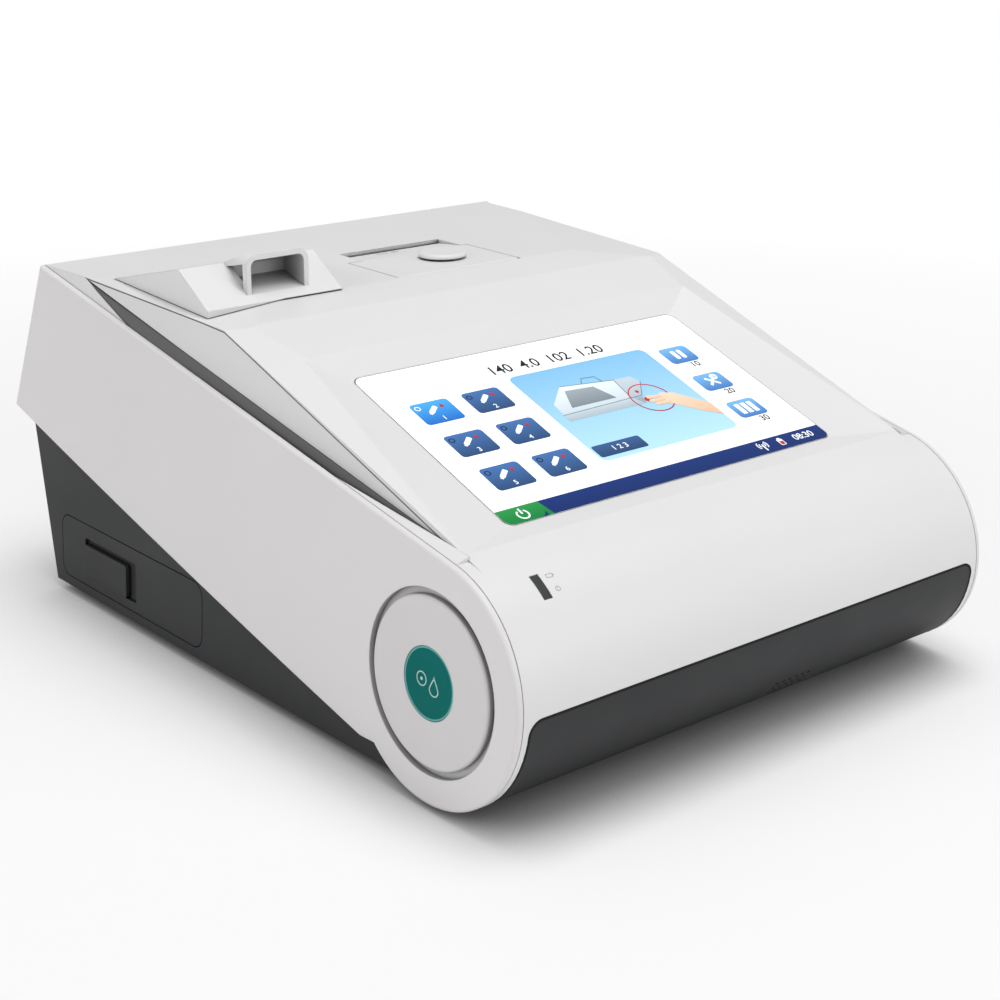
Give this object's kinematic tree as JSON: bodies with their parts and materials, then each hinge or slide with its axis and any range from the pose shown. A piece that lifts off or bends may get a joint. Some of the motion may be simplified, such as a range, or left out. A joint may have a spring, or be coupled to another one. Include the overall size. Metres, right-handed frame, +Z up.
{
  "type": "electrolyte analyzer",
  "caption": "Benchtop blood electrolyte analyzer with tilted touch screen, lift-out calibrant pack, top printer door, side cartridge port and battery drawer.",
  "frame": {"origin": "on the table, under the middle of the analyzer's outer box", "axes": "+X to the right seen from the front, +Y to the back, +Z up"},
  "size_m": [0.238, 0.3186, 0.1526],
  "materials": {
    "shell_white": "fine satin texture",
    "cover_grey": "fine satin texture",
    "base_dark": "fine matt texture",
    "trim_grey": "satin",
    "rubber_black": "matt",
    "screen_glass": "polished",
    "screen_panel": "smooth",
    "badge_teal": "glossy",
    "window_dark": "glossy, see-through red-black",
    "window_clear": "frosted",
    "plastic_black": "satin",
    "steel_sheet": "brushed zinc",
    "screw_steel": "satin",
    "contact_brass": "bright",
    "board_green": "varnished",
    "paper_white": "uncoated",
    "card_brown": "uncoated",
    "battery_blue": "shrink sleeve",
    "tube_clear": "translucent"
  },
  "bodies": {
    "housing": {"top_shell": "shell_white", "side_panel_left": "cover_grey", "side_panel_right": "cover_grey", "side_trim_left": "trim_grey", "side_trim_right": "trim_grey", "front_panel": "base_dark", "base_tray": "base_dark", "rubber_feet": "rubber_black", "base_screws": "screw_steel", "touch_glass": "screen_glass", "display_gasket": "rubber_black", "lcd_panel": "screen_panel", "lcd_bracket": "steel_sheet", "side_disc_left": "cover_grey", "badge": "badge_teal", "side_disc_right": "cover_grey", "scanner_window": "window_dark", "scanner_module": "plastic_black", "status_window": "window_clear", "status_board": "board_green", "speaker": "plastic_black", "pack_tub": "base_dark", "fluid_probes": "screw_steel", "printer_frame": "plastic_black", "print_head": "plastic_black", "tear_bar": "steel_sheet", "battery_cage": "plastic_black", "battery_contacts": "contact_brass", "rear_plate": "steel_sheet", "network_port": "steel_sheet", "usb_ports": "steel_sheet", "power_inlet": "plastic_black", "power_switch_housing": "plastic_black", "fan_frame": "plastic_black", "main_board": "board_green", "board_components": "plastic_black", "power_module": "steel_sheet", "port_bezel": "base_dark", "cartridge_chassis": "base_dark", "pump_housing": "plastic_black", "pump_tube": "tube_clear", "pump_motor": "screw_steel", "small_screws": "screw_steel"},
    "pack": {"pack_cap": "shell_white", "pack_body": "shell_white", "pack_seals": "rubber_black"},
    "printer_door": {"printer_door": "shell_white", "printer_door_pin": "screw_steel"},
    "platen": {"platen_roller": "rubber_black"},
    "paper": {"paper_roll": "paper_white", "paper_core": "card_brown"},
    "battery_drawer": {"battery_drawer_front": "base_dark", "battery_tray": "base_dark", "battery_pack": "battery_blue"},
    "drawer_latch": {"drawer_latch": "base_dark"},
    "fan": {"fan_rotor": "plastic_black"},
    "pump": {"pump_rotor": "shell_white"},
    "rocker": {"power_rocker": "plastic_black"},
    "flap": {"cartridge_flap": "plastic_black"},
    "sensor_head": {"sensor_head": "plastic_black"}
  },
  "joints": [
    {"name": "pack_lift", "type": "slide", "parent": "housing", "child": "pack", "axis": [0, 0, 1], "range_m": [0, 0.075]},
    {"name": "printer_door_hinge", "type": "hinge", "parent": "housing", "child": "printer_door", "pos_m": [0.014, 0.0294, 0.1332], "axis": [1, 0, 0], "range_deg": [0, 85]},
    {"name": "platen_spin", "type": "hinge", "parent": "printer_door", "child": "platen", "pos_m": [0.016, 0.07, 0.1265], "axis": [1, 0, 0], "continuous": true},
    {"name": "paper_spin", "type": "hinge", "parent": "housing", "child": "paper", "pos_m": [0.016, 0.05, 0.101], "axis": [1, 0, 0], "continuous": true},
    {"name": "battery_drawer_slide", "type": "slide", "parent": "housing", "child": "battery_drawer", "axis": [-1, 0, 0], "range_m": [0, 0.06]},
    {"name": "drawer_latch_slide", "type": "slide", "parent": "battery_drawer", "child": "drawer_latch", "axis": [0.028, -0.9996, 0], "range_m": [0, 0.004], "stiffness_N_per_m": 200},
    {"name": "fan_spin", "type": "hinge", "parent": "housing", "child": "fan", "pos_m": [-0.002, 0.13761, 0.03461], "axis": [0, 0.9668, -0.2557], "continuous": true},
    {"name": "pump_spin", "type": "hinge", "parent": "housing", "child": "pump", "pos_m": [-0.096, -0.035, 0.058], "axis": [1, 0, 0], "continuous": true},
    {"name": "power_rocker_tilt", "type": "hinge", "parent": "housing", "child": "rocker", "pos_m": [0.081, 0.13413, 0.03553], "axis": [-1, 0, 0], "range_deg": [0, 16]},
    {"name": "cartridge_flap_swing", "type": "hinge", "parent": "housing", "child": "flap", "pos_m": [0.1122, -0.042, 0.059], "axis": [0, 1, 0], "range_deg": [0, 75], "stiffness_Nm_per_rad": 0.002},
    {"name": "sensor_head_lift", "type": "slide", "parent": "housing", "child": "sensor_head", "axis": [0, 0, 1], "range_m": [0, 0.0025]}
  ]
}
